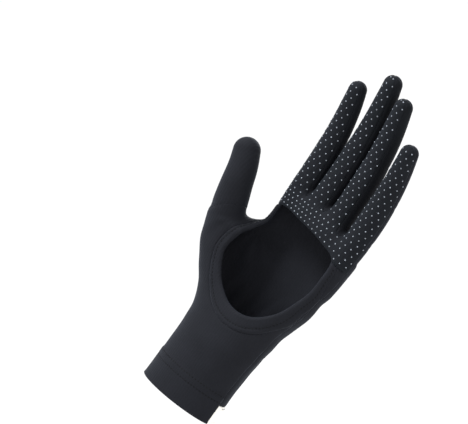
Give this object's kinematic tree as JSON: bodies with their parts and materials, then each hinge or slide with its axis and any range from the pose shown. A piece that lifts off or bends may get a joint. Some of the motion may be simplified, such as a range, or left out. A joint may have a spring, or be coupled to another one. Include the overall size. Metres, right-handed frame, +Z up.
{
  "type": "sun protection glove",
  "caption": "Left-hand sun protection glove of thin stretch knit with an open palm, dotted grip panel on the palm side of the fingers and a gathered cuff, in its worn form.",
  "frame": {"origin": "centre of the cuff's mouth, in the plane of its hem, where the hand goes in", "axes": "+Z up the hand from the cuff to the fingers, palm facing -Y, thumb towards -X, little finger towards +X"},
  "size_m": [0.1071, 0.0452, 0.2375],
  "materials": {
    "dark_knit": "matt",
    "dotted_knit": "matt with small clear rubbery dots",
    "dark_facing": "matt",
    "pale_band": "matt"
  },
  "bodies": {
    "root": {"grip_panel": "dotted_knit", "fourchette_index_middle": "dark_knit", "fourchette_middle_ring": "dark_knit", "fourchette_ring_little": "dark_knit", "thumb": "dark_knit", "palm_panel": "dark_knit", "opening_facing": "dark_facing", "cuff_band": "pale_band", "back_panel": "dark_knit"}
  },
  "joints": []
}
